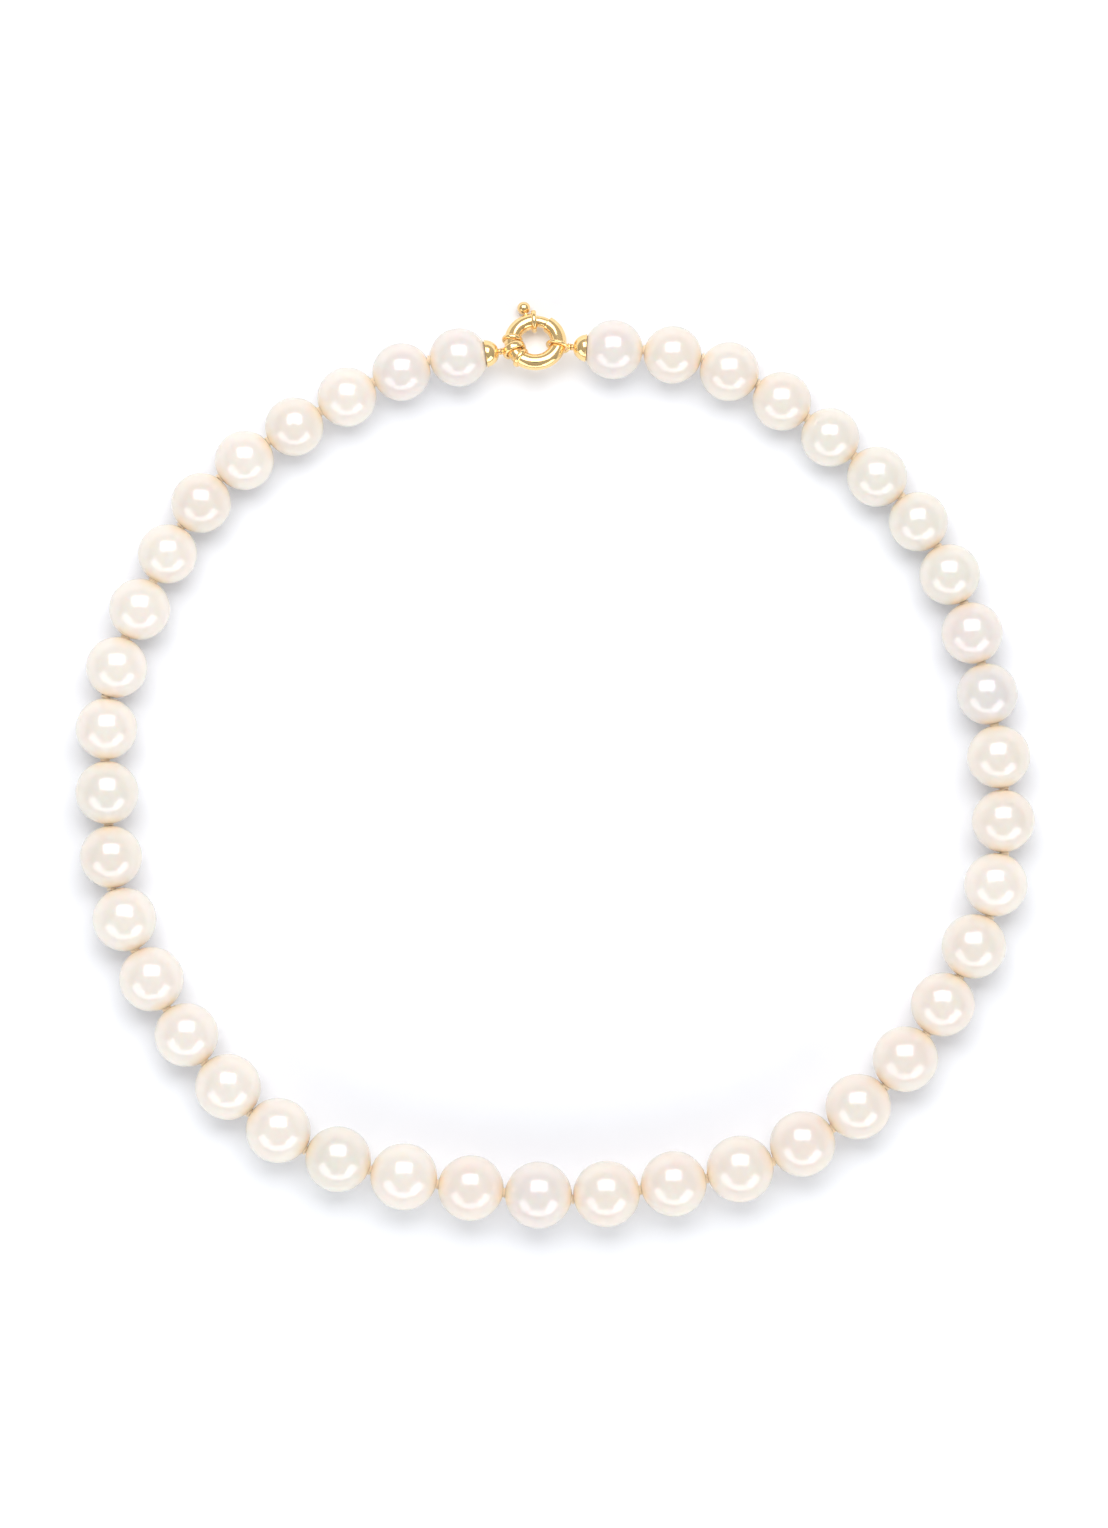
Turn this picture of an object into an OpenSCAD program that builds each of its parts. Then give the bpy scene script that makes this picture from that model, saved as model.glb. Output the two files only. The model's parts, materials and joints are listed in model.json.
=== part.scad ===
// Graduated pearl necklace, knotted on silk and closed by a round bolt ring clasp.
// Millimetres, +Z up. It lies on the plane Z = 0, and the origin is under the middle of
// its outline. The clasp is at +Y, the largest pearls are at the front, at -Y.

/* [Pearls] */
// Number of pearls on the strand
pearl_count = 42; // [42:1:42]
// Diameter of the pearls beside the clasp
back_pearl_d = 9.5; // [9.4:0.05:9.5]
// Diameter of the pearls at the front
front_pearl_d = 10.85; // [10.75:0.05:10.85]
// Largest natural difference of a pearl from the even graduation
pearl_uneven = 0.12; // [0:0.01:0.15]
// Diameter of the hole drilled through each pearl
drill_d = 0.8; // [0.75:0.05:0.9]

/* [Silk] */
// Diameter of the silk thread
thread_d = 0.5; // [0.4:0.05:0.5]
// Diameter of the knots between the pearls
knot_d = 1.3; // [1.1:0.1:1.4]

/* [Clasp] */
// Radius of the clasp ring, at the middle of its tube
ring_r = 3.75; // [3.7:0.05:3.8]
// Outer diameter of the clasp's tube
tube_d = 2.62; // [2.6:0.01:2.64]
// Wall thickness of the clasp's tube
tube_wall = 0.31; // [0.28:0.01:0.31]
// Diameter of the bolt that closes the ring
bolt_d = 1.84; // [1.8:0.01:1.86]
// Diameter of the ball that a thumb pulls the bolt back with
ball_d = 2.1; // [2:0.05:2.1]
// How far the clasp leans, with its ball resting on the table
ring_lean = 25; // [24:1:26]

/* [Links and cups] */
// Thickness of the links' wire
link_wire = 0.6; // [0.55:0.05:0.6]
// Width of the band that the left link is made from
band_w = 1.2; // [1:0.1:1.2]
// Rim diameter of the end cups
cup_d = 4.4; // [4.2:0.1:4.5]
// Length of the end cups
cup_len = 2.1; // [2.1:0.1:2.2]
// Wall thickness of the end cups
cup_wall = 0.2; // [0.18:0.01:0.22]

/* [Hidden] */

// ---- The clasp ring, leaning on its ball ----
ring_at = [-3.2, 68.6, 3.75];
right_link_deg = -13;
left_link_deg = 203;

// Turns a direction from the ring's own plane to its lean on the table
function lean(p) =
    [p.x, p.y * cos(ring_lean) + p.z * sin(ring_lean),
     p.z * cos(ring_lean) - p.y * sin(ring_lean)];
// A point on the middle of the clasp's tube
function tube_at(deg) = ring_at + lean([ring_r * cos(deg), ring_r * sin(deg), 0]);
right_link_at = tube_at(right_link_deg);
left_link_at = tube_at(left_link_deg);

// ---- The way that the strand lies on the table, seen from above ----
// Points on the silk's route, clockwise from the right link to the left link
route = concat(
    [[right_link_at.x, right_link_at.y]],
    [[9, 67], [19, 67], [28, 64], [37, 59], [52, 47], [59, 40], [64, 31], [68, 21],
     [72, 2], [73, -9], [72, -19], [68, -30], [58, -47], [49, -56], [40, -62], [30, -66],
     [8, -70], [-3, -70], [-25, -67], [-45, -60], [-60, -44], [-70, -26], [-72, -16],
     [-73, 4], [-72, 14], [-68, 24], [-59, 41], [-51, 49], [-42, 55], [-25, 64], [-15, 66]],
    [[left_link_at.x, left_link_at.y]]);
smoothing = 16;

// A point of the smooth curve through b and c, with a and d as their neighbours
function blend_point(a, b, c, d, t) =
    b + 0.5 * t * ((c - a) + t * ((2 * a - 5 * b + 4 * c - d) + t * (3 * (b - c) + d - a)));
last = len(route) - 1;
curve = concat(
    [for (i = [0:last - 1]) for (k = [0:smoothing - 1])
        blend_point(route[max(i - 1, 0)], route[i], route[i + 1],
                    route[min(i + 2, last)], k / smoothing)],
    [route[last]]);
// Distance along the curve of each of its points
along = [for (i = 0, s = 0; i < len(curve);
              s = s + (i + 1 < len(curve) ? norm(curve[i + 1] - curve[i]) : 0), i = i + 1) s];
along_x = [for (i = [0:len(curve) - 1]) [along[i], curve[i].x]];
along_y = [for (i = [0:len(curve) - 1]) [along[i], curve[i].y]];
function on_route(s) = [lookup(s, along_x), lookup(s, along_y)];

// ---- Pearls: graduated from the clasp to the front, each a little uneven ----
function pearl_d(i) =
    back_pearl_d
    + (front_pearl_d - back_pearl_d) * pow(sin(180 * (i - 0.5) / pearl_count), 2)
    + pearl_uneven * sin(i * 137.5);
function pearl_name(i) = str("pearl_", i < 10 ? "0" : "", i);
// Length of silk taken up by the pearls before pearl i, without the knots
function pearls_before(i) = i <= 1 ? 0 : pearl_d(i - 1) + pearls_before(i - 1);

// ---- Lengths along each end of the silk, from the middle of a link ----
tube_r = tube_d / 2;
link_clear = 0.09;
link_inner_r = tube_r + link_clear;
link_r = link_inner_r + link_wire / 2;
neck_end = link_inner_r + link_wire + 0.15;
neck_r = 0.45;
gimp_start = neck_end + 0.05;
gimp_wire = 0.16;
gimp_turns = 2;
cup_start = gimp_start + gimp_turns * gimp_wire + 0.03;
// Distance from a cup's apex to the pearl that its rim closes on, with the rim just clear
seat_clear = 0.06;
function seat(i) =
    cup_len + seat_clear - pearl_d(i) / 2
    + sqrt(pow(pearl_d(i) / 2, 2) - pow(cup_d / 2 - cup_wall, 2));
function end_len(i) = cup_start + seat(i);
// The knots share evenly what the pearls and the ends leave of the silk's length
knot_gap = (along[len(along) - 1] - end_len(1) - end_len(pearl_count)
            - pearls_before(pearl_count + 1)) / (pearl_count - 1);

// ---- Places of the knots and pearls ----
// Knot i follows pearl i. Knots 0 and 42 are the end knots, inside the cups.
function knot_s(i) =
    end_len(1) + pearls_before(i + 1) + (i - 0.5) * knot_gap;
function knot_h(i) =
    i == 0 ? pearl_d(1) / 2
    : i == pearl_count ? pearl_d(pearl_count) / 2
    : (pearl_d(i) + pearl_d(i + 1)) / 4;
function knot_at(i) = let (p = on_route(knot_s(i))) [p.x, p.y, knot_h(i)];
function pearl_at(i) =
    let (p = (knot_at(i - 1) + knot_at(i)) / 2) [p.x, p.y, pearl_d(i) / 2];

// ---- Parts of the clasp, by their angles round the ring, anticlockwise ----
gap_collar_deg = 93.5;
tube_from_deg = 89;
tube_to_deg = 417;
bolt_tip_deg = 52;
bolt_tail_deg = 115;
knob_deg = 107;
bolt_travel_deg = 38;
slot_from_deg = 102.5;
slot_to_deg = knob_deg + bolt_travel_deg + 4.5;
spring_to_deg = 168;
stop_to_deg = 173;
upper_collar_deg = 175;
lower_collar_deg = 231;
ball_r_out = 6.44;
stem_d = 0.56;
stem_from = ring_r + 0.45;
tube_bore_r = tube_r - tube_wall;

smooth = 96;
fine = 64;
very_smooth = 240;

// ---- Helpers ----
// Turns the children's +Z to point along v
module point_along(v) {
    rotate([0, acos(v.z / norm(v)), atan2(v.y, v.x)]) children();
}
// Puts the children in the leaning frame of the clasp ring
module in_ring() {
    translate(ring_at) rotate([-ring_lean, 0, 0]) children();
}
// A stretch of round rod or pipe bent along the ring
module ring_arc(from_deg, to_deg, r, bore_r = 0) {
    rotate([0, 0, from_deg]) rotate_extrude(angle = to_deg - from_deg, $fn = very_smooth)
        translate([ring_r, 0]) difference() {
            circle(r, $fn = fine);
            if (bore_r > 0) circle(bore_r, $fn = fine);
        }
}
// A flat collar threaded on the clasp's tube
module collar(deg, r, width) {
    in_ring() difference() {
        rotate([0, 0, deg]) translate([ring_r, width / 2, 0]) rotate([90, 0, 0])
            cylinder(h = width, r = r, $fn = fine);
        ring_arc(deg - 20, deg + 20, tube_r + 0.01);
    }
}
// The points of a tube's rings swept along a line of points
function sweep_points(line, r, sides) =
    [for (i = [0:len(line) - 1])
        let (ahead = line[min(i + 1, len(line) - 1)] - line[max(i - 1, 0)],
             t = ahead / norm(ahead),
             side = cross([0, 0, 1], t) / norm(cross([0, 0, 1], t)),
             up = cross(t, side))
        for (k = [0:sides - 1])
            line[i] + r * (cos(360 * k / sides) * side + sin(360 * k / sides) * up)];
module swept(line, r, sides) {
    n = len(line);
    polyhedron(
        points = sweep_points(line, r, sides),
        faces = concat(
            [[for (k = [0:sides - 1]) k]],
            [for (i = [0:n - 2]) for (k = [0:sides - 1]) let (m = (k + 1) % sides)
                [i * sides + k, (i + 1) * sides + k, (i + 1) * sides + m, i * sides + m]],
            [[for (k = [sides - 1:-1:0]) (n - 1) * sides + k]]),
        convexity = 10);
}

// ---- The strand ----
module pearl(i) {
    hole = knot_at(i) - knot_at(i - 1);
    color("floralwhite") difference() {
        translate(pearl_at(i)) rotate([0, 0, atan2(hole.y, hole.x) + 90])
            sphere(d = pearl_d(i), $fn = smooth);
        translate(knot_at(i - 1)) point_along(hole) translate([0, 0, -1])
            cylinder(h = norm(hole) + 2, d = drill_d, $fn = fine);
    }
}

// A point on the straight line from a link to the end pearl, level with the pearl's middle
function end_point(pearl, link, dist) =
    let (v = pearl - link) [link.x, link.y, pearl.z] + dist * [v.x, v.y, 0] / norm([v.x, v.y]);
right_tip = end_point(pearl_at(1), right_link_at, neck_end + 0.06);
right_entry = end_point(pearl_at(1), right_link_at, cup_start + 0.5);
left_tip = end_point(pearl_at(pearl_count), left_link_at, neck_end + 0.06);
left_entry = end_point(pearl_at(pearl_count), left_link_at, cup_start + 0.5);
thread_line = concat(
    [right_tip, right_entry],
    [for (i = [0:pearl_count]) knot_at(i)],
    [left_entry, left_tip]);

module silk_thread() {
    color("ivory") swept(thread_line, thread_d / 2, 8);
}

// A knot pulled tight round the thread: flat where the pearls press on its two sides
module knot_turns(r, half) {
    bore = thread_d / 2 + 0.02;
    rotate_extrude($fn = fine) polygon([
        [bore, -half], [0.8 * r, -half], [r, -0.6 * half],
        [r, 0.6 * half], [0.8 * r, half], [bore, half]]);
}
module knot(i) {
    translate(knot_at(i)) point_along(knot_at(i + 1) - knot_at(i - 1))
        knot_turns(knot_d / 2, 0.15 * knot_gap);
}
// The last knot at each end, inside the cup and close to the pearl
module end_knot(i, entry) {
    translate(knot_at(i)) point_along(entry - knot_at(i))
        translate([0, 0, 0.35]) knot_turns(0.55, 0.25);
}
module silk_knots() {
    color("ivory") {
        for (i = [1:pearl_count - 1]) knot(i);
        end_knot(0, right_entry);
        end_knot(pearl_count, left_entry);
    }
}

// ---- What joins an end of the strand to the clasp ----
// Puts the children at a link's middle, level with the end pearl, with +Z towards it
module along_end(pearl, link) {
    translate([link.x, link.y, pearl.z])
        point_along([pearl.x - link.x, pearl.y - link.y, 0]) children();
}
module cup_outline(shrink) {
    r = cup_d / 2 - shrink;
    polygon(concat(
        [[0, shrink]],
        [for (a = [0:6:90]) [0.55 - shrink + (r - 0.55 + shrink) * pow(sin(a), 1.3),
                             shrink + (cup_len - shrink) * (1 - cos(a))]],
        [[0, cup_len]]));
}
module cup(pearl, link) {
    color("gold") along_end(pearl, link) translate([0, 0, cup_start])
        rotate_extrude($fn = smooth) difference() {
            cup_outline(0);
            cup_outline(cup_wall);
            translate([-1, -1]) square([1 + thread_d / 2 + 0.05, 10]);
            translate([0, cup_len - 0.01]) square([cup_d / 2 - cup_wall, 1]);
        }
}
// Turns of fine gold wire that guard the silk between a cup and its link
module gimp(pearl, link) {
    color("gold") along_end(pearl, link)
        for (k = [0:gimp_turns - 1]) translate([0, 0, gimp_start + (k + 0.5) * gimp_wire])
            rotate_extrude($fn = fine) translate([0.42, 0]) circle(d = gimp_wire - 0.01, $fn = 24);
}
// A closed link round the clasp's tube, with a short neck towards the cup
module link(pearl, deg, width) {
    centre = tube_at(deg);
    neck_to = end_point(pearl, centre, neck_end);
    neck_dir = neck_to - centre;
    color("gold") difference() {
        union() {
            in_ring() rotate([0, 0, deg]) translate([ring_r, 0, 0]) rotate([90, 0, 0])
                rotate_extrude($fn = smooth) translate([link_r, 0]) intersection() {
                    circle(d = width, $fn = fine);
                    square([link_wire, width], center = true);
                }
            translate(centre) point_along(neck_dir) translate([0, 0, link_inner_r])
                cylinder(h = norm(neck_dir) - link_inner_r, r = neck_r, $fn = fine);
        }
        in_ring() ring_arc(deg - 30, deg + 30, tube_r + link_clear);
    }
}

module right_cup() { cup(pearl_at(1), right_link_at); }
module right_gimp() { gimp(pearl_at(1), right_link_at); }
module right_link() { link(pearl_at(1), right_link_deg, link_wire); }
module left_cup() { cup(pearl_at(pearl_count), left_link_at); }
module left_gimp() { gimp(pearl_at(pearl_count), left_link_at); }
module left_link() { link(pearl_at(pearl_count), left_link_deg, band_w); }

// ---- The clasp ----
module ring_tube() {
    color("gold") in_ring() difference() {
        ring_arc(tube_from_deg, tube_to_deg, tube_r, tube_bore_r);
        rotate([0, 0, slot_from_deg])
            rotate_extrude(angle = slot_to_deg - slot_from_deg, $fn = smooth)
                translate([ring_r + 0.5, -0.33]) square([1.5, 0.66]);
    }
}
module gap_collar() { color("gold") collar(gap_collar_deg, 1.9, 0.8); }
module upper_link_collar() { color("gold") collar(upper_collar_deg, 1.62, 0.7); }
module lower_link_collar() { color("gold") collar(lower_collar_deg, 1.62, 0.7); }
module bolt() {
    color("gold") in_ring() difference() {
        ring_arc(bolt_tip_deg, bolt_tail_deg, bolt_d / 2);
        rotate([0, 0, knob_deg]) translate([stem_from, 0, 0]) rotate([0, 90, 0])
            cylinder(h = 2, d = stem_d, $fn = fine);
    }
}
module thumb_knob() {
    color("gold") in_ring() rotate([0, 0, knob_deg]) {
        translate([stem_from, 0, 0]) rotate([0, 90, 0])
            cylinder(h = ball_r_out - stem_from, d = stem_d, $fn = fine);
        translate([ball_r_out, 0, 0]) sphere(d = ball_d, $fn = smooth);
    }
}
spring_turns = 9;
spring_steps = 12;
spring_r = 0.7;
function spring_at(u) =
    let (deg = bolt_tail_deg + 2 + u * (spring_to_deg - bolt_tail_deg - 3),
         r = ring_r + spring_r * cos(360 * spring_turns * u),
         z = spring_r * sin(360 * spring_turns * u))
    [r * cos(deg), r * sin(deg), z];
module bolt_spring() {
    n = spring_turns * spring_steps;
    color("silver") in_ring() swept([for (i = [0:n]) spring_at(i / n)], 0.1, 6);
}
module spring_stop() {
    color("gold") in_ring() ring_arc(spring_to_deg, stop_to_deg, tube_bore_r - 0.01);
}

for (i = [1:pearl_count]) pearl(i);
silk_thread();
silk_knots();
right_cup();
right_gimp();
right_link();
left_cup();
left_gimp();
left_link();
ring_tube();
gap_collar();
upper_link_collar();
lower_link_collar();
bolt();
thumb_knob();
bolt_spring();
spring_stop();
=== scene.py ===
"""The looks of the pearl necklace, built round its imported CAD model."""
import json
import math

import bmesh
import bpy
import numpy as np
from mathutils import Matrix, Vector, noise


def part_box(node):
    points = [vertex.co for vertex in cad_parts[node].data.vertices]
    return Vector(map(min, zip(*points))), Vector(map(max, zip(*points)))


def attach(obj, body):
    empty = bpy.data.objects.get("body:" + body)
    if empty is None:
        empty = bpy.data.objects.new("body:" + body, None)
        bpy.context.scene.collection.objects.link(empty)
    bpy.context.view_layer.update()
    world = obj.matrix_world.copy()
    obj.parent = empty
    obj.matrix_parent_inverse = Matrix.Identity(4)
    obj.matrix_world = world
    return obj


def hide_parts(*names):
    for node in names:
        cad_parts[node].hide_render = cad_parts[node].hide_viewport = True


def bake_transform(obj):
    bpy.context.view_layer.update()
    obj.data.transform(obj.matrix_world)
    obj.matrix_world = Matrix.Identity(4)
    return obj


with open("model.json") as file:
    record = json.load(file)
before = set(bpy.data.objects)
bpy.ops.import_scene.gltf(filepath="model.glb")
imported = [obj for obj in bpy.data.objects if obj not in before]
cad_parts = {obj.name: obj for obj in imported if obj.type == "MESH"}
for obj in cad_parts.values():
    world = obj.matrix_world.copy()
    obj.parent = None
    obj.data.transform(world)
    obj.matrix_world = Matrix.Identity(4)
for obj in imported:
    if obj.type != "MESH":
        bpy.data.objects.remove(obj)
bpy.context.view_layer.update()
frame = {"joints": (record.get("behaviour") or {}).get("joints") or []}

MM = 0.001
JOINTS = {j["name"]: j for j in frame["joints"]}
PEARLS = 42


# ---- Camera ----

FRAME_HEIGHT = 0.24805      # metres that the picture's height covers, level with the pearls' middles
CAMERA_HEIGHT = 1.5
CAMERA_X = -0.00016
PEARL_MIDDLE_HEIGHT = 0.005
SENSOR = 36                 # millimetres, along the picture's longer side
camera_data = bpy.data.cameras.new("camera")
camera_data.sensor_width = SENSOR
camera_data.lens = SENSOR * (CAMERA_HEIGHT - PEARL_MIDDLE_HEIGHT) / FRAME_HEIGHT
camera = bpy.data.objects.new("camera", camera_data)
camera.location = (CAMERA_X, 0.0, CAMERA_HEIGHT)
bpy.context.scene.collection.objects.link(camera)
bpy.context.scene.camera = camera
bpy.context.scene.view_settings.view_transform = "Standard"


# ---- Materials ----

# A colour Mix node's sockets, by place, because its float and vector ones have the same names
MIX_SHARE, MIX_A, MIX_B, MIX_RESULT = 0, 6, 7, 2


class Nodes:
    """A material's node tree, with a short way to add and join nodes."""

    def __init__(self, name):
        self.material = bpy.data.materials.new(name)
        self.material.use_nodes = True
        self.tree = self.material.node_tree
        self.shader = self.tree.nodes["Principled BSDF"]

    def add(self, kind, inputs=(), **settings):
        node = self.tree.nodes.new(kind)
        for key, value in settings.items():
            setattr(node, key, value)
        for key, value in dict(inputs).items():
            self.set(node, key, value)
        return node

    def set(self, node, key, value):
        if isinstance(value, bpy.types.NodeSocket):
            self.tree.links.new(value, node.inputs[key])
        else:
            node.inputs[key].default_value = value

    def finish(self, **inputs):
        for key, value in inputs.items():
            self.set(self.shader, key.replace("_", " "), value)
        return self.material

    def place(self, offset=(0, 0, 0), scale=(1, 1, 1)):
        """The surface's own coordinates, in metres."""
        where = self.add("ShaderNodeTexCoord")
        moved = self.add("ShaderNodeMapping", {"Vector": where.outputs["Object"],
                                               "Location": offset, "Scale": scale})
        return moved.outputs["Vector"]

    def noise(self, vector, scale, detail=2.0, rough=0.5, twist=0.0):
        made = self.add("ShaderNodeTexNoise", {"Vector": vector, "Scale": scale, "Detail": detail,
                                               "Roughness": rough, "Distortion": twist})
        return made.outputs["Fac"]

    def remap(self, value, low, high, start=0.3, end=0.7):
        """A value from start to end spread over low to high."""
        made = self.add("ShaderNodeMapRange", {"Value": value, "From Min": start, "From Max": end,
                                               "To Min": low, "To Max": high})
        return made.outputs["Result"]

    def mix(self, share, a, b):
        made = self.add("ShaderNodeMix", data_type="RGBA")
        for key, value in ((MIX_SHARE, share), (MIX_A, a), (MIX_B, b)):
            self.set(made, key, value)
        return made.outputs[MIX_RESULT]

    def bump(self, height, strength, distance, below=None):
        made = self.add("ShaderNodeBump", {"Height": height, "Strength": strength, "Distance": distance})
        if below is not None:
            self.set(made, "Normal", below)
        return made.outputs["Normal"]


def rgb(r, g, b):
    """A colour given as it looks on a screen, from 0 to 255."""
    def linear(c):
        c /= 255
        return c / 12.92 if c <= 0.04045 else ((c + 0.055) / 1.055) ** 2.4
    return (linear(r), linear(g), linear(b), 1.0)


PAINTED_BOUNCE_ATTR = "painted_bounce_light"                # how near a point of a pearl's skin is to a drill hole, from 0 to 0.9: the share of painted warm bounce light between neighbouring pearls that it takes
# The colour of the painted warm bounce light between neighbouring pearls, laid on near the drill holes
PAINTED_BOUNCE_COLOUR = rgb(253, 232, 205)
PALE_SHARE, PALE_LEVEL = 0.25, 0.86    # how far the growth waves pale towards a light grey


def nacre(name, colour, overtone, seed):
    """Nacre: a cream body with painted warm bounce light near the drill holes, where neighbouring pearls
    meet, with clouds of overtone and a lustrous skin.
    """
    n = Nodes(name)
    where = n.place(offset=(seed * 0.37, seed * 0.11, seed * 0.23))
    clouds = n.noise(where, 190, 2, 0.45, 0.6)
    growth = n.noise(where, 420, 1, 0.5)
    grain = n.noise(where, 4200, 2, 0.6)
    paler = tuple((1 - PALE_SHARE) * c + PALE_SHARE * PALE_LEVEL for c in colour[:3]) + (1.0,)
    pale = n.mix(n.remap(growth, 0.0, 0.5), colour, paler)
    clouded = n.mix(n.remap(clouds, 0.0, 0.8, 0.38, 0.62), pale, overtone)
    # painted warm bounce light between neighbouring pearls, strongest near the drill holes
    bounce_share = n.add("ShaderNodeAttribute", attribute_name=PAINTED_BOUNCE_ATTR).outputs["Fac"]
    with_painted_bounce = n.mix(bounce_share, clouded, PAINTED_BOUNCE_COLOUR)
    return n.finish(
        Base_Color=with_painted_bounce, Roughness=n.remap(grain, 0.28, 0.36),
        Normal=n.bump(growth, 0.12, 0.00004),
        IOR=1.5, Specular_IOR_Level=0.3,
        Subsurface_Weight=0.45, Subsurface_Radius=(0.0024, 0.0013, 0.0008), Subsurface_Scale=1.0,
        Coat_Weight=1.0, Coat_Roughness=0.17, Coat_IOR=1.85,
        Sheen_Weight=0.12, Sheen_Roughness=0.4, Sheen_Tint=rgb(255, 222, 190),
        Thin_Film_Thickness=395.0, Thin_Film_IOR=1.45)


def gold(name, colour, polish, brushed=0.0):
    """Polished gold with hairline scratches and faint waves left by the polishing wheel."""
    n = Nodes(name)
    where = n.place()
    waves = n.noise(where, 700, 2, 0.4)
    hairs = n.noise(n.place(scale=(1, 6, 1)), 9000, 3, 0.7, 0.3)
    worn = n.mix(n.remap(waves, 0.0, 0.5), colour, rgb(253, 224, 168))
    return n.finish(
        Base_Color=worn, Metallic=0.8, Roughness=n.remap(hairs, polish, polish + 0.09, 0.35, 0.8),
        Normal=n.bump(hairs, 0.03 + brushed, 0.000008, n.bump(waves, 0.12, 0.00003)))


def silk(name):
    """Cream silk, with the lie of its fibres and a soft sheen."""
    n = Nodes(name)
    where = n.place()
    fibres = n.noise(n.place(scale=(1, 1, 4)), 7000, 3, 0.7, 0.5)
    shade = n.mix(n.remap(n.noise(where, 900, 2), 0.0, 0.6), rgb(255, 234, 204), rgb(253, 224, 186))
    lit = n.mix(n.remap(fibres, 0.0, 0.35), shade, rgb(255, 247, 230))
    return n.finish(
        Base_Color=lit, Roughness=n.remap(fibres, 0.5, 0.7), Normal=n.bump(fibres, 0.4, 0.00003),
        Sheen_Weight=0.5, Sheen_Roughness=0.35, Sheen_Tint=rgb(255, 244, 222),
        Subsurface_Weight=0.35, Subsurface_Radius=(0.0006, 0.0005, 0.0004), Subsurface_Scale=1.0)


def steel(name):
    """Drawn spring wire."""
    n = Nodes(name)
    streaks = n.noise(n.place(scale=(1, 1, 8)), 4000, 3, 0.6)
    return n.finish(
        Base_Color=n.mix(n.remap(streaks, 0.0, 1.0), rgb(176, 178, 182), rgb(206, 207, 210)),
        Metallic=1.0, Roughness=n.remap(streaks, 0.22, 0.38), Normal=n.bump(streaks, 0.1, 0.00001))


# ---- Meshes ----

def piece(name, verts, faces, material, slot, nodes, body=None, between=None, sharp=40):
    """One visible piece: its mesh in metres, the finish it wears, and the CAD nodes it stands for."""
    mesh = bpy.data.meshes.new(name)
    mesh.from_pydata([tuple(v) for v in verts], [], faces)
    mesh.validate()
    made = bmesh.new()
    made.from_mesh(mesh)
    bmesh.ops.recalc_face_normals(made, faces=made.faces)
    made.to_mesh(mesh)
    made.free()
    mesh.polygons.foreach_set("use_smooth", [True] * len(mesh.polygons))
    mesh.set_sharp_from_angle(angle=math.radians(sharp))
    mesh.materials.append(material)
    obj = bpy.data.objects.new(name, mesh)
    bpy.context.scene.collection.objects.link(obj)
    if between:
        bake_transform(obj)
    else:
        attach(obj, body)
    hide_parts(*nodes)
    return obj


def grid(rows, cols, wrap_rows=False, skip=lambda row, col: False):
    """Faces between the rows and columns of a grid of points, whose last column joins its first."""
    return [
        (i * cols + j, i * cols + (j + 1) % cols,
         (i + 1) % rows * cols + (j + 1) % cols, (i + 1) % rows * cols + j)
        for i in range(rows if wrap_rows else rows - 1)
        for j in range(cols)
        if not skip(i, j)]


def joined(*parts):
    """Several (points, faces) as one."""
    verts, faces = [], []
    for v, f in parts:
        faces += [tuple(k + len(verts) for k in face) for face in f]
        verts += list(v)
    return verts, faces


def placed(part, matrix):
    """(points, faces) moved by a matrix."""
    verts, faces = part
    return [matrix @ Vector(v) for v in verts], faces


def smooth_step(value, start, end):
    """0 before start, 1 after end, and a smooth rise between them."""
    t = min(1.0, max(0.0, (value - start) / (end - start)))
    return t * t * (3 - 2 * t)


def lathe(profile, around, closed=False):
    """A profile of (radius, height) turned round Z.

    A closed one is the section of a ring, and an open one starts and ends on the axis.
    """
    angles = [2 * math.pi * k / around for k in range(around)]
    turns = [(math.cos(a), math.sin(a)) for a in angles]
    if closed:
        verts = [(r * c, r * s, z) for r, z in profile for c, s in turns]
        return verts, grid(len(profile), around, wrap_rows=True)
    inner = profile[1:-1]
    verts = [(r * c, r * s, z) for r, z in inner for c, s in turns]
    faces = grid(len(inner), around)
    verts += [(0, 0, profile[0][1]), (0, 0, profile[-1][1])]
    start, end, top = len(verts) - 2, len(verts) - 1, (len(inner) - 1) * around
    for k in range(around):
        faces.append((start, (k + 1) % around, k))
        faces.append((end, top + k, top + (k + 1) % around))
    return verts, faces


def sweep(line, section, twist=0.0, up=(0, 0, 1), closed=False):
    """A section of (side, up) points carried along a line of points, turning by twist radians a metre.

    The section may be a function of the point's index.
    """
    line = [Vector(p) for p in line]
    n = len(line)
    verts, side, run = [], None, 0.0
    for i, p in enumerate(line):
        ahead = line[(i + 1) % n if closed else min(i + 1, n - 1)]
        behind = line[(i - 1) % n if closed else max(i - 1, 0)]
        t = (ahead - behind).normalized()
        if side is None:
            side = Vector(up).cross(t)
            side = (side if side.length > 1e-4 else Vector((1, 0, 0)).cross(t)).normalized()
        else:
            side = (side - t * side.dot(t)).normalized()
            run += (p - line[i - 1]).length
        high = t.cross(side)
        c, s = math.cos(twist * run), math.sin(twist * run)
        shape = section(i) if callable(section) else section
        verts += [p + side * (x * c - y * s) + high * (x * s + y * c) for x, y in shape]
    cols = len(verts) // n
    faces = grid(n, cols, wrap_rows=closed)
    if not closed:
        faces.append(tuple(reversed(range(cols))))
        faces.append(tuple(range((n - 1) * cols, n * cols)))
    return verts, faces


def circle(r, sides, lobes=0, depth=0.0):
    """The points of a round section, lobed like strands laid together if asked."""
    out = []
    for k in range(sides):
        a = 2 * math.pi * k / sides
        q = r * (1 - depth + depth * abs(math.cos(lobes * a / 2)) ** 0.7) if lobes else r
        out.append((q * math.cos(a), q * math.sin(a)))
    return out


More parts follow.
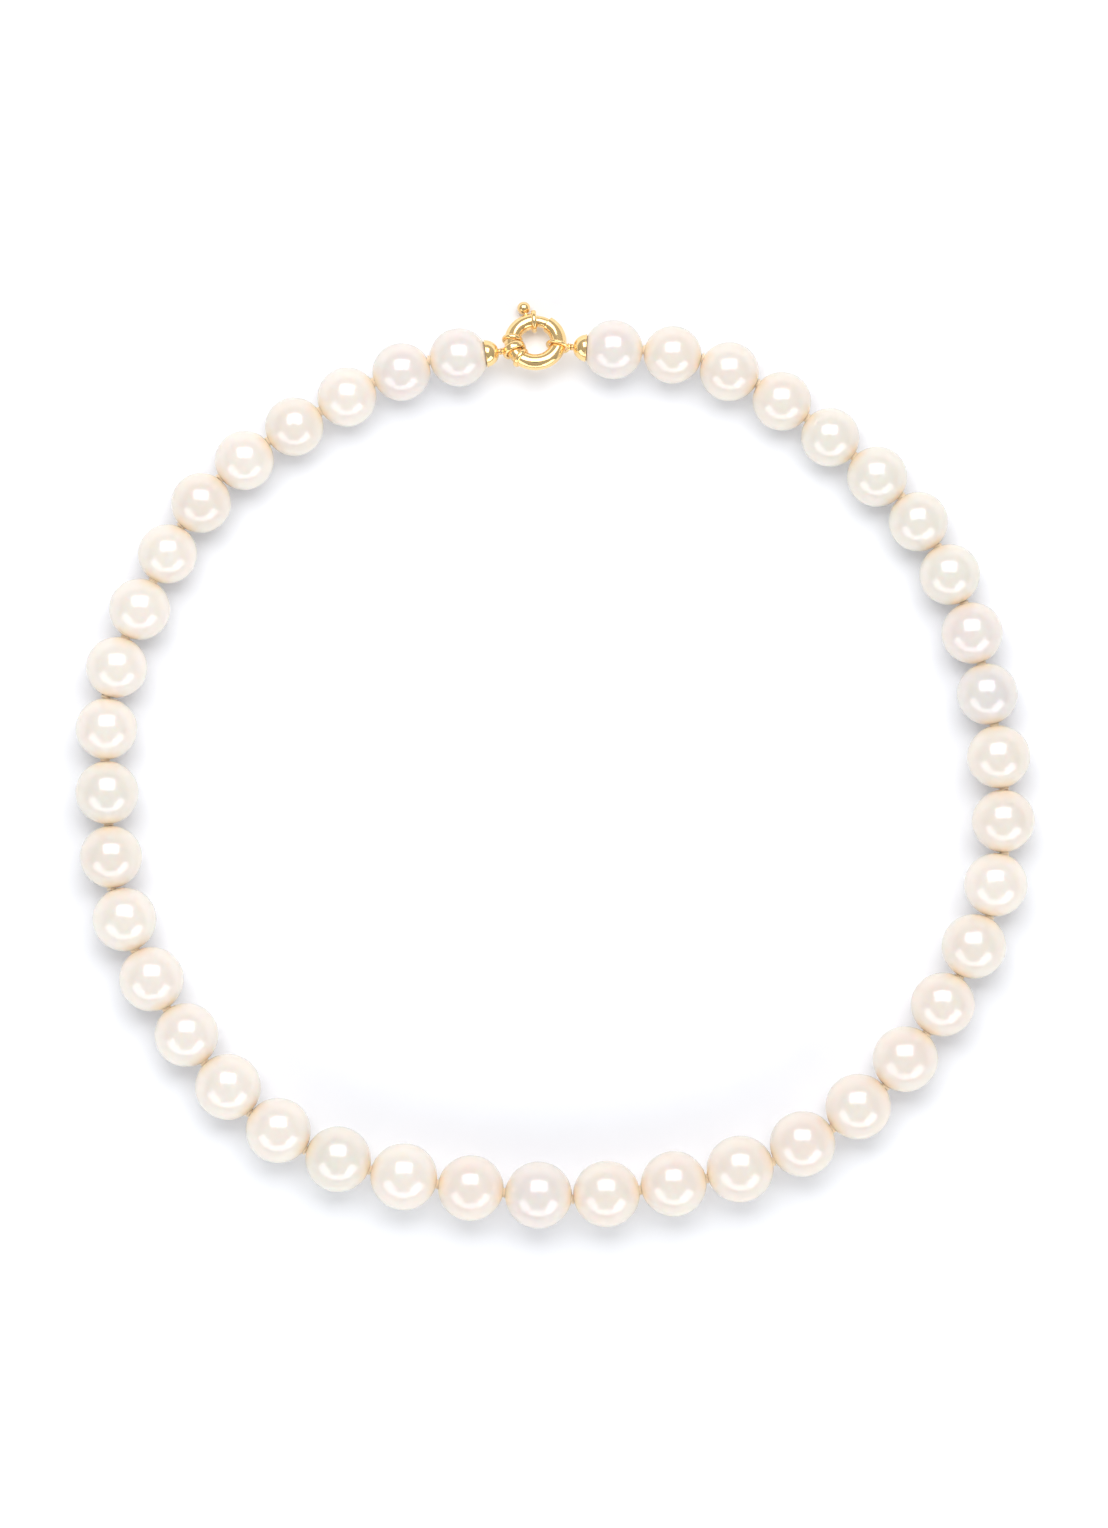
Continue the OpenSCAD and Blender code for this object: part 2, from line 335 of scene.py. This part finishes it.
def oval(half_w, half_h, sides, power=2.0):
    """The points of a section from a circle's shape, at power 2, to a rounded rectangle's at more."""
    out = []
    for k in range(sides):
        a = 2 * math.pi * k / sides
        c, s = math.cos(a), math.sin(a)
        q = (abs(c) ** power + abs(s) ** power) ** (-1 / power)
        out.append((half_w * q * c, half_h * q * s))
    return out


def pointing(v, at):
    """The matrix that puts a shape's Z along v and its origin at a point."""
    return Matrix.Translation(at) @ Vector(v).to_track_quat("Z", "Y").to_matrix().to_4x4()


# ---- Places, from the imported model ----

KNOTS = {i: Vector(JOINTS[f"knot_{i:02d}"]["pos_m"]) for i in range(1, PEARLS)}
PEARL_BOX = {i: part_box(f"pearl_{i:02d}") for i in range(1, PEARLS + 1)}
PEARL_R = {i: (high.z - low.z) / 2 for i, (low, high) in PEARL_BOX.items()}


def end_knot(i, beyond, joint):
    """The knot inside an end cup, as far past the end pearl's middle as its other knot is before it."""
    middle = Vector(JOINTS[joint]["pos_m"])
    p = 2 * middle - beyond
    return Vector((p.x, p.y, PEARL_R[i]))


def middle_of(i):
    """The middle of pearl i."""
    between = (KNOTS[i] + KNOTS[i - 1]) / 2
    return Vector((between.x, between.y, PEARL_R[i]))


KNOTS[0] = end_knot(1, KNOTS[1], "right_cup_tilt")
KNOTS[PEARLS] = end_knot(PEARLS, KNOTS[PEARLS - 1], "left_cup_tilt")
RING_AT = Vector(JOINTS["bolt_slide"]["pos_m"])
RING_NORMAL = Vector(JOINTS["bolt_slide"]["axis"])
RING = Matrix.Translation(RING_AT) @ Matrix.Rotation(-math.atan2(RING_NORMAL.y, RING_NORMAL.z), 4, "X")
RING_R = 3.75 * MM
TUBE_R = 1.31 * MM
BORE_R = 1.0 * MM


def on_ring(deg, out=0.0, up=0.0):
    """A point in the clasp ring's own frame, by angle, distance outside the tube's middle, and height."""
    a = math.radians(deg)
    return Vector(((RING_R + out) * math.cos(a), (RING_R + out) * math.sin(a), up))


def across_tube(deg):
    """The matrix of a cross-section of the clasp's tube: X outwards, Y up, Z along the tube."""
    a = math.radians(deg)
    out, up = Vector((math.cos(a), math.sin(a), 0)), Vector((0, 0, 1))
    m = Matrix((out, up, out.cross(up))).transposed().to_4x4()
    return RING @ Matrix.Translation(on_ring(deg)) @ m


# ---- Pearls ----

# Nacre tones, as (body colour, overtone)
ROSE = (rgb(226, 220, 212), rgb(226, 216, 211))
PALE = (rgb(227, 222, 211), rgb(226, 221, 210))
CREAM = (rgb(229, 222, 210), rgb(229, 219, 208))
WARM = (rgb(230, 222, 210), rgb(231, 219, 209))
LIGHT = (rgb(233, 227, 216), rgb(233, 224, 215))
SILVER = (rgb(222, 217, 210), rgb(218, 214, 211))
TONES = {
    ROSE: (1, 9, 22, 41, 42),
    PALE: (5, 6, 7, 8, 25, 32),
    CREAM: (2, 3, 4, 11, 12, 14, 31, 37, 39),
    WARM: (15, 16, 17, 18, 19, 20, 21, 23),
    LIGHT: (13, 24, 26, 27, 28, 29, 30, 33, 34, 35, 36, 38, 40),
    SILVER: (10,),
}
TONE_OF = {i: tone for tone, pearls in TONES.items() for i in pearls}
HOLE_R = 0.4 * MM
MOUTH_R = 0.64 * MM
MOUTH_DEPTH = 0.2 * MM
PEARL_ROWS, PEARL_AROUND = 44, 64
GOLDEN_ANGLE = 2.399963     # sets each pearl's irregularities apart from its neighbour's

# How far a pearl departs from a ball, as shares of its radius
SHRINK = 0.004              # keeps the swellings inside the CAD pearl, near enough
SQUEEZE = 0.006
PULL = 0.007
DENTS = 0.007
GROWTH_RINGS = 0.0006

# Distances from the drill hole's axis, as shares of the pearl's radius
REGULAR_TO, IRREGULAR_FROM = 0.14, 0.64
# Where the painted warm bounce light between neighbouring pearls is full, near the drill hole, where it is
# gone, and how strong it gets at most
BOUNCE_FULL_TO, BOUNCE_GONE_FROM = 0.18, 0.78
BOUNCE_MOST = 0.9


def pearl(i):
    """A drilled pearl, slightly off-round, with faint growth rings round the axis of its drill hole."""
    hole = KNOTS[i] - KNOTS[i - 1]
    middle = middle_of(i)
    r = PEARL_R[i]
    first = math.asin(MOUTH_R / r)
    edge = r * math.cos(first)
    lip = [(MOUTH_R - (MOUTH_R - HOLE_R) * math.cos(t), edge - MOUTH_DEPTH * (1 - math.sin(t)))
           for t in (0, 0.4, 0.8, 1.2)]
    body = [(r * math.sin(a), r * math.cos(a))
            for a in (first + (math.pi - 2 * first) * k / PEARL_ROWS for k in range(PEARL_ROWS + 1))]
    bore = [(HOLE_R, -r / 2), (HOLE_R, 0), (HOLE_R, r / 2)]
    profile = lip + body + [(q, -z) for q, z in reversed(lip)] + bore
    verts, faces = lathe(profile, PEARL_AROUND, closed=True)
    k = i * GOLDEN_ANGLE
    squeeze = SQUEEZE * math.sin(3.1 * k)
    pull = PULL * math.sin(1.7 * k + 1)
    rings = GROWTH_RINGS * (1 + math.sin(2.3 * k))
    turn = 5 * math.sin(k)
    shaped, skin_bounce = [], []
    for v in verts:
        p = Vector(v)
        d = p / r
        skirt = math.hypot(d.x, d.y)
        dents = noise.noise(d * 1.3 + Vector((i * 3.7, turn, 0)))
        across = d.x * math.cos(turn) + d.y * math.sin(turn)
        swell = (-SHRINK + squeeze * across ** 2 - pull * d.z ** 2 * abs(d.z)
                 + DENTS * dents + rings * math.sin(24 * d.z + k))
        shaped.append(p * (1 + smooth_step(skirt, REGULAR_TO, IRREGULAR_FROM) * swell))
        # painted warm bounce light: full near the drill holes, where the neighbouring pearls are, fading out
        # towards the pearl's waist
        skin_bounce.append(BOUNCE_MOST * smooth_step(skirt, BOUNCE_GONE_FROM, BOUNCE_FULL_TO))
    verts, faces = placed((shaped, faces), pointing(hole, middle))
    colour, overtone = TONE_OF[i]
    material = nacre(f"nacre_{i:02d}", colour, overtone, i)
    skin = piece(f"pearl_skin_{i:02d}", verts, faces, material, "nacre", [f"pearl_{i:02d}"],
                 body=f"bead_{i:02d}", sharp=70)
    skin.data.attributes.new(PAINTED_BOUNCE_ATTR, "FLOAT", "POINT").data.foreach_set("value", skin_bounce)


# ---- Silk ----

PLY_TWIST = 2 * math.pi / (1.3 * MM)
THREAD_R = 0.25 * MM
HIDDEN_STEP = 0.8 * MM      # between the points of silk inside a pearl
KNOT_TURNS = 2.2
KNOT_REACH = 1.2 * MM       # how far either side of a knot the silk shows its fine twist
END_REACH = 0.5 * MM


def strand(points, step=0.12 * MM):
    """A twisted thread along a broken line."""
    line = []
    for a, b in zip(points, points[1:]):
        n = max(1, round((b - a).length / step))
        line += [a.lerp(b, k / n) for k in range(n)]
    return sweep(line + [points[-1]], circle(THREAD_R, 12, 3, 0.22), twist=PLY_TWIST)


def wraps(at, along, coil_r, thick, wide, pitch, start=0.0):
    """The turns of a knot: a flattened strand wound round the thread, with one turn laid over the others."""
    m = pointing(along, at)
    steps = round(26 * KNOT_TURNS)
    line = []
    for k in range(steps + 1):
        a = start + 2 * math.pi * KNOT_TURNS * k / steps
        r = coil_r + 0.1 * MM * math.sin(a / 2 + start) ** 2
        height = pitch * (KNOT_TURNS * k / steps - KNOT_TURNS / 2)
        line.append(m @ Vector((r * math.cos(a), r * math.sin(a), height)))
    return sweep(line, lambda k: oval(thick, wide, 10, 2.2), up=along)


def silk_between(i, material):
    """The silk from the middle of pearl i to the middle of the next, and the knot between them.

    The knot sits towards the open side of the bend, by 0.25 mm at most.
    """
    knot = KNOTS[i]
    a = (KNOTS[i - 1] + knot) / 2
    b = (knot + KNOTS[i + 1]) / 2
    way = (b - a).normalized()
    bend = (knot - a).normalized() - (b - knot).normalized()
    out = bend * min(0.9, 0.25 / max(bend.length, 1e-6)) * MM
    near_a = knot.lerp(a, KNOT_REACH / (a - knot).length)
    near_b = knot.lerp(b, KNOT_REACH / (b - knot).length)
    made = joined(
        strand([a, near_a], step=HIDDEN_STEP),
        strand([near_a, knot, near_b]),
        strand([near_b, b], step=HIDDEN_STEP),
        wraps(knot + out, way, 0.54 * MM, 0.24 * MM, 0.085 * MM, 0.14 * MM, start=i * 1.1))
    half = 0.3 * MM * way
    piece(f"silk_{i:02d}", *made, material, "silk", ["silk_thread", "silk_knots"],
          between=(f"bead_{i:02d}", f"bead_{i + 1:02d}", knot - half, knot + half), sharp=60)


# ---- Ends: cups, guard wire and links ----

LINK_INNER = 1.4 * MM
LINK_WIRE = 0.6 * MM
WIDE_LINK = 1.2 * MM
NECK_R, NECK_TAPER = 0.62, 0.08         # millimetres, at the link and how much less at the far end
NECK_TWIST = 2 * math.pi / (1.9 * MM)
NECK_END = 2.15 * MM
CUP_START = 2.55 * MM
CUP_LEN = 2.1 * MM
CUP_R = 2.2 * MM
CUP_WALL = 0.2 * MM
CUP_FOOT = 0.55 * MM
CUP_HOLE = 0.32 * MM


class End:
    """One end of the strand: where its cup, guard wire, silk and link are, and what they ride on.

    wire_to names the body at the guard wire's far end, where a joint crosses it.
    """

    def __init__(self, side, pearl_i, knot_i, link_deg, body, wire_to=None):
        self.side, self.pearl_i, self.deg = side, pearl_i, link_deg
        self.body, self.wire_to = body, wire_to
        self.knot = KNOTS[knot_i]
        self.link = RING @ on_ring(link_deg)
        middle = middle_of(pearl_i)
        self.start = Vector((self.link.x, self.link.y, middle.z))
        self.out = (middle - self.start).normalized()
        self.frame = pointing(self.out, self.start)

    def at(self, distance):
        return self.start + self.out * distance


def cup(end, material):
    """A thin bell, open towards the pearl, with a rolled rim and a small boss that the guard wire leaves."""
    def bell(shrink, angles):
        r = CUP_R - shrink
        foot = CUP_FOOT - shrink
        return [(foot + (r - foot) * math.sin(a) ** 1.3, shrink + (CUP_LEN - shrink) * (1 - math.cos(a)))
                for a in angles]
    angles = [math.radians(a) for a in range(4, 85, 4)]
    boss = [(CUP_HOLE, 0.03 * MM), (CUP_HOLE + 0.03 * MM, 0), (0.47 * MM, 0),
            (0.53 * MM, 0.03 * MM), (CUP_FOOT, 0.09 * MM), (0.58 * MM, 0.13 * MM)]
    outer = [p for p in bell(0, angles) if p[0] > 0.62 * MM]
    rim = [(CUP_R + 0.02 * MM + 0.06 * MM * math.cos(t), CUP_LEN - 0.12 * MM + 0.12 * MM * math.sin(t))
           for t in np.linspace(-1.2, 1.9, 9)]
    inner = [p for p in reversed(bell(CUP_WALL, angles)) if p[0] > 0.45 * MM]
    profile = [(r, z + CUP_START) for r, z in boss + outer + rim + inner + [(CUP_HOLE, CUP_WALL)]]
    verts, faces = placed(lathe(profile, 96, closed=True), end.frame)
    piece(f"{end.side}_end_cup", verts, faces, material, "gold", [f"{end.side}_cup"],
          body=end.body, sharp=50)


def guard_wire(end, material):
    """Turns of fine wire round the silk, from the link's neck to the cup."""
    turns, wire_r, coil_r = 2.6, 0.075 * MM, 0.47 * MM
    first, last = NECK_END + 0.04 * MM + wire_r, CUP_START - 0.02 * MM - wire_r
    steps = round(turns * 40)
    line = []
    for k in range(steps + 1):
        a = 2 * math.pi * turns * k / steps
        height = first + (last - first) * k / steps
        line.append(end.frame @ Vector((coil_r * math.cos(a), coil_r * math.sin(a), height)))
    verts, faces = sweep(line, circle(wire_r, 10), up=end.out)
    between = (end.body, end.wire_to, end.at(CUP_START), end.at(NECK_END)) if end.wire_to else None
    piece(f"{end.side}_guard_wire", verts, faces, material, "gold", [f"{end.side}_gimp"],
          body=end.body, between=between)


def link(end, wide, body, material):
    """A closed link round the clasp's tube, and its twisted neck."""
    m = across_tube(end.deg)
    r = LINK_INNER + LINK_WIRE / 2
    around = 72
    line = []
    for k in range(around):
        a = 2 * math.pi * k / around
        line.append(m @ Vector((r * math.cos(a), r * math.sin(a), 0)))
    tangent = m.to_3x3() @ Vector((0, 0, 1))
    power = 2.0 if wide <= LINK_WIRE else 3.0
    loop = sweep(line, oval(LINK_WIRE / 2, wide / 2, 28, power), up=tangent, closed=True)
    neck_to = end.at(NECK_END)
    way = (neck_to - end.link).normalized()
    base = end.link + way * (LINK_INNER + LINK_WIRE * 0.55)
    steps = 30
    neck_line = [base.lerp(neck_to, k / steps) for k in range(steps + 1)]

    def neck_section(k):
        rounded = 0.12 if k in (0, steps) else 0
        return circle((NECK_R - NECK_TAPER * k / steps) * MM * (1 - rounded), 36, 4, 0.2)
    verts, faces = joined(loop, sweep(neck_line, neck_section, twist=NECK_TWIST))
    piece(f"{end.side}_clasp_link", verts, faces, material, "gold", [f"{end.side}_link"], body=body, sharp=50)


def end_silk(end, material):
    """The silk from the end pearl's middle, through its last knot and the cup, to the link's neck."""
    inside = (KNOTS[end.pearl_i] + KNOTS[end.pearl_i - 1]) / 2
    before = end.knot - (end.knot - inside).normalized() * END_REACH
    entry = end.at(CUP_START + 0.5 * MM)
    made = joined(
        strand([inside, before], step=HIDDEN_STEP),
        strand([before, end.knot, entry, end.at(NECK_END + 0.06 * MM)]),
        wraps(end.knot.lerp(entry, 0.35), entry - end.knot, 0.36 * MM, 0.15 * MM, 0.1 * MM, 0.18 * MM))
    piece(f"silk_end_{end.side}", *made, material, "silk", ["silk_thread", "silk_knots"],
          between=(f"bead_{end.pearl_i:02d}", end.body, before, end.knot), sharp=60)


# ---- Clasp ----

TUBE_FROM, TUBE_TO = 89, 417            # degrees round the clasp ring
SLOT_FROM, SLOT_TO, SLOT_HALF = 102.5, 149.5, 0.33 * MM
CLOSED_HALF = 0.02 * MM                 # half of the seam where the slot isn't cut
TUBE_STEPS = 260


def clasp_tube(material):
    """The bent tube, open at both ends, with the slot that the knob's stem runs in."""
    around = 64
    lip = 1.0                           # degrees that the rounding of each end takes
    length = TUBE_TO - TUBE_FROM - 2 * lip
    steps = [round(TUBE_FROM + lip + k * length / TUBE_STEPS, 4) for k in range(TUBE_STEPS + 1)]
    slot_ends = [a for x in (0, 0.15, 0.5) for a in (SLOT_FROM + x, SLOT_TO - x)]
    angles = sorted(set(steps + slot_ends))
    round_off = math.degrees(SLOT_HALF / (RING_R + TUBE_R))

    def half_width(deg):
        if not SLOT_FROM <= deg <= SLOT_TO:
            return CLOSED_HALF
        from_end = min(deg - SLOT_FROM, SLOT_TO - deg)
        q = max(0.0, 1 - from_end / round_off)
        return max(CLOSED_HALF, SLOT_HALF * math.sqrt(max(0.0, 1 - q * q)))

    def ring_of(deg, r):
        h = math.asin(half_width(deg) / r)
        return [on_ring(deg, r * math.cos(v), r * math.sin(v))
                for v in (h + (2 * math.pi - 2 * h) * k / (around - 1) for k in range(around))]

    n = len(angles)
    rounding = [(0.35, 0.0), (0.08, 0.02), (0.0, 0.06)]
    end_rings = ([(TUBE_FROM + a * lip, TUBE_R - d * MM) for a, d in rounding]
                 + [(TUBE_FROM + a * lip, BORE_R + d * MM) for a, d in reversed(rounding)])
    far_rings = ([(TUBE_TO - a * lip, TUBE_R - d * MM) for a, d in rounding]
                 + [(TUBE_TO - a * lip, BORE_R + d * MM) for a, d in reversed(rounding)])
    loop = ([(a, TUBE_R) for a in angles] + far_rings + [(a, BORE_R) for a in reversed(angles)]
            + list(reversed(end_rings)))
    verts = [p for deg, r in loop for p in ring_of(deg, r)]
    in_slot = [SLOT_FROM <= (a + b) / 2 <= SLOT_TO for a, b in zip(angles, angles[1:])]
    inner_first = n + len(far_rings)

    def skip(row, col):
        if col != around - 1:
            return False
        if row < n - 1:
            return in_slot[row]
        return inner_first <= row < inner_first + n - 1 and in_slot[n - 2 - (row - inner_first)]

    faces = grid(len(loop), around, wrap_rows=True, skip=skip)
    high = around - 1
    for k, cut in enumerate(in_slot):
        if cut:
            outer, inner = k * around, (inner_first + n - 1 - k) * around
            side = (outer, outer + around, inner - around, inner)
            faces.append(side)
            faces.append(tuple(p + high for p in reversed(side)))
    for k in (in_slot.index(True), n - 1 - in_slot[::-1].index(True)):
        outer, inner = k * around, (inner_first + n - 1 - k) * around
        faces.append((outer, inner, inner + high, outer + high))
    verts, faces = placed((verts, faces), RING)
    piece("clasp_tube", verts, faces, material, "gold", ["ring_tube"], body="ring_body", sharp=40)


def collar(name, node, deg, r, width, material):
    """A collar round the tube, with a full round rim."""
    half, bore = width / 2, TUBE_R + 0.01 * MM
    bulge = half * 0.8
    rim = [(r - bulge + bulge * math.cos(t), half * math.sin(t))
           for t in np.linspace(-math.pi / 2, math.pi / 2, 11)]
    below = [(bore, -half * 0.9), (bore + 0.04 * MM, -half)]
    above = [(bore + 0.04 * MM, half), (bore, half * 0.9)]
    profile = below + rim + above
    verts, faces = placed(lathe(profile, 72, closed=True), across_tube(deg))
    piece(name, verts, faces, material, "gold", [node], body="ring_body", sharp=50)


def bent_rod(from_deg, to_deg, r, dome, steps=60, sides=40):
    """A round rod bent along the ring, with a domed start if asked."""
    line, radii = [], []
    if dome:
        reach = math.degrees(r * 0.8 / RING_R)
        for t in np.linspace(0.05, math.pi / 2, 9):
            line.append(RING @ on_ring(from_deg + reach * (1 - math.cos(t))))
            radii.append(r * math.sin(t))
        from_deg += reach
    line += [RING @ on_ring(from_deg + (to_deg - from_deg) * k / steps)
             for k in range(1 if dome else 0, steps + 1)]
    radii += [r] * (len(line) - len(radii))
    return sweep(line, lambda k: circle(radii[k], sides), up=RING_NORMAL)


KNOB_DEG = 107
BALL_OUT = 6.44 * MM
BALL_R = 1.05 * MM
STEM_R = 0.28 * MM
STEM_FROM = 4.2 * MM


def knob(material):
    """The ball and the stem that a thumb draws the bolt back with."""
    length = BALL_OUT - STEM_FROM
    meet = length - math.sqrt(BALL_R ** 2 - (STEM_R * 1.35) ** 2)
    shaft = [(STEM_R, meet * k / 6) for k in range(6)]
    stem = [(0, 0)] + shaft + [(STEM_R * 1.12, meet - 0.05 * MM)]
    start = math.acos((length - meet) / BALL_R)
    ball = [(BALL_R * math.sin(a), length - BALL_R * math.cos(a))
            for a in np.linspace(start, math.pi, 34)]
    ball[-1] = (0, length + BALL_R)
    a = math.radians(KNOB_DEG)
    way = RING.to_3x3() @ Vector((math.cos(a), math.sin(a), 0))
    verts, faces = placed(lathe(stem + ball, 48), pointing(way, RING @ on_ring(KNOB_DEG, STEM_FROM - RING_R)))
    piece("clasp_knob", verts, faces, material, "gold", ["thumb_knob"], body="bolt_body", sharp=50)


def spring(material):
    """The coil spring behind the bolt, as it lies at rest."""
    turns, coil_r, wire_r = 9, 0.7 * MM, 0.1 * MM
    from_deg, to_deg = 117, 167
    steps = turns * 24
    line = []
    for k in range(steps + 1):
        u = k / steps
        a = 2 * math.pi * turns * u
        deg = from_deg + (to_deg - from_deg) * u
        line.append(RING @ on_ring(deg, coil_r * math.cos(a), coil_r * math.sin(a)))
    verts, faces = sweep(line, circle(wire_r, 8))
    piece("bolt_coil_spring", verts, faces, material, "spring_steel", ["bolt_spring"],
          between=("bolt_body", "ring_body", RING @ on_ring(from_deg), RING @ on_ring(to_deg)))


# ---- Everything in its place ----

for i in range(1, PEARLS + 1):
    pearl(i)
cream_silk = silk("cream_silk")
for i in range(1, PEARLS):
    silk_between(i, cream_silk)

GOLD = rgb(252, 213, 145)
ring_gold = gold("polished_gold", GOLD, 0.05)
cup_gold = gold("cup_gold", rgb(253, 216, 148), 0.04)
wire_gold = gold("drawn_gold", GOLD, 0.12, 0.05)
right = End("right", 1, 0, -13, "right_end")
left = End("left", PEARLS, PEARLS, 203, "left_end", wire_to="left_link_body")
for end, wide, body in ((right, LINK_WIRE, "right_link_body"), (left, WIDE_LINK, "left_link_body")):
    cup(end, cup_gold)
    guard_wire(end, wire_gold)
    link(end, wide, body, ring_gold)
    end_silk(end, cream_silk)
clasp_tube(ring_gold)
collar("gap_ring", "gap_collar", 93.5, 1.9 * MM, 0.8 * MM, ring_gold)
collar("upper_link_ring", "upper_link_collar", 175, 1.72 * MM, 0.84 * MM, ring_gold)
collar("lower_link_ring", "lower_link_collar", 231, 1.72 * MM, 0.84 * MM, ring_gold)
verts, faces = bent_rod(52, 115, 0.92 * MM, dome=True)
piece("clasp_bolt", verts, faces, ring_gold, "gold", ["bolt"], body="bolt_body")
knob(ring_gold)
verts, faces = bent_rod(168, 173, 0.98 * MM, dome=False, steps=6)
piece("spring_seat", verts, faces, wire_gold, "gold", ["spring_stop"], body="ring_body")
spring(steel("spring_wire"))


# ---- Table and lights ----

FLOOR_HALF = 0.7
FLOOR_DROP = 0.00002        # keeps the floor just clear of what rests on it

# The sky's grey by height, from the horizon up: bright low down, dimmer above, and a small dark disc overhead
SKY = ((0.0, 0.96), (0.1, 0.96), (0.16, 0.32), (0.4, 0.32), (0.8, 0.4), (0.985, 0.42), (0.994, 0.08),
       (1.0, 0.02))
SKY_STRENGTH = 0.875
SKY_TILT = 0.36             # how much stronger the sky is towards +Y, and weaker towards -Y
COOL = (0.95, 0.99, 1.0)    # the tint of the lower lights


def floor():
    """A plain pale table top."""
    n = Nodes("white_table")
    mesh = bpy.data.meshes.new("table")
    s = FLOOR_HALF
    mesh.from_pydata([(-s, -s, 0), (s, -s, 0), (s, s, 0), (-s, s, 0)], [], [(0, 1, 2, 3)])
    mesh.materials.append(n.finish(Base_Color=rgb(247, 248, 252), Roughness=0.7, Specular_IOR_Level=0.2))
    obj = bpy.data.objects.new("table", mesh)
    obj.location.z = -FLOOR_DROP
    bpy.context.scene.collection.objects.link(obj)


def softbox(name, at, size, watts, colour=(1, 1, 1)):
    """A soft panel that faces the middle of the table."""
    data = bpy.data.lights.new(name, "AREA")
    data.shape, data.size, data.size_y = "RECTANGLE", *size
    data.energy, data.color = watts, colour
    obj = bpy.data.objects.new(name, data)
    obj.location = at
    obj.rotation_euler = Vector(at).to_track_quat("Z", "Y").to_euler()
    bpy.context.scene.collection.objects.link(obj)


def sky():
    """The light of the room, by height and by side."""
    world = bpy.data.worlds.new("studio")
    world.use_nodes = True
    tree = world.node_tree
    where = tree.nodes.new("ShaderNodeTexCoord")
    split = tree.nodes.new("ShaderNodeSeparateXYZ")
    ramp = tree.nodes.new("ShaderNodeValToRGB")
    tree.links.new(where.outputs["Generated"], split.inputs[0])
    tree.links.new(split.outputs["Z"], ramp.inputs[0])
    elements = ramp.color_ramp.elements
    while len(elements) < len(SKY):
        elements.new(0.5)
    for element, (height, level) in zip(elements, SKY):
        element.position, element.color = height, (level, level, level * 1.01, 1)
    back = tree.nodes.new("ShaderNodeMath")
    back.operation = "MULTIPLY_ADD"
    tree.links.new(split.outputs["Y"], back.inputs[0])
    back.inputs[1].default_value = SKY_TILT
    back.inputs[2].default_value = SKY_STRENGTH
    tree.links.new(ramp.outputs[0], tree.nodes["Background"].inputs["Color"])
    tree.links.new(back.outputs[0], tree.nodes["Background"].inputs["Strength"])
    bpy.context.scene.world = world


floor()
sky()
softbox("key", (0.0, 0.53, 0.85), (1.05, 0.72), 8.75)
softbox("left_fill", (-0.70, -0.55, 0.44), (0.66, 0.56), 2.4, COOL)
softbox("right_fill", (0.66, -0.62, 0.44), (0.66, 0.56), 3.0, COOL)
softbox("front_panel", (0.0, -0.90, 0.40), (1.1, 0.36), 2.7, COOL)
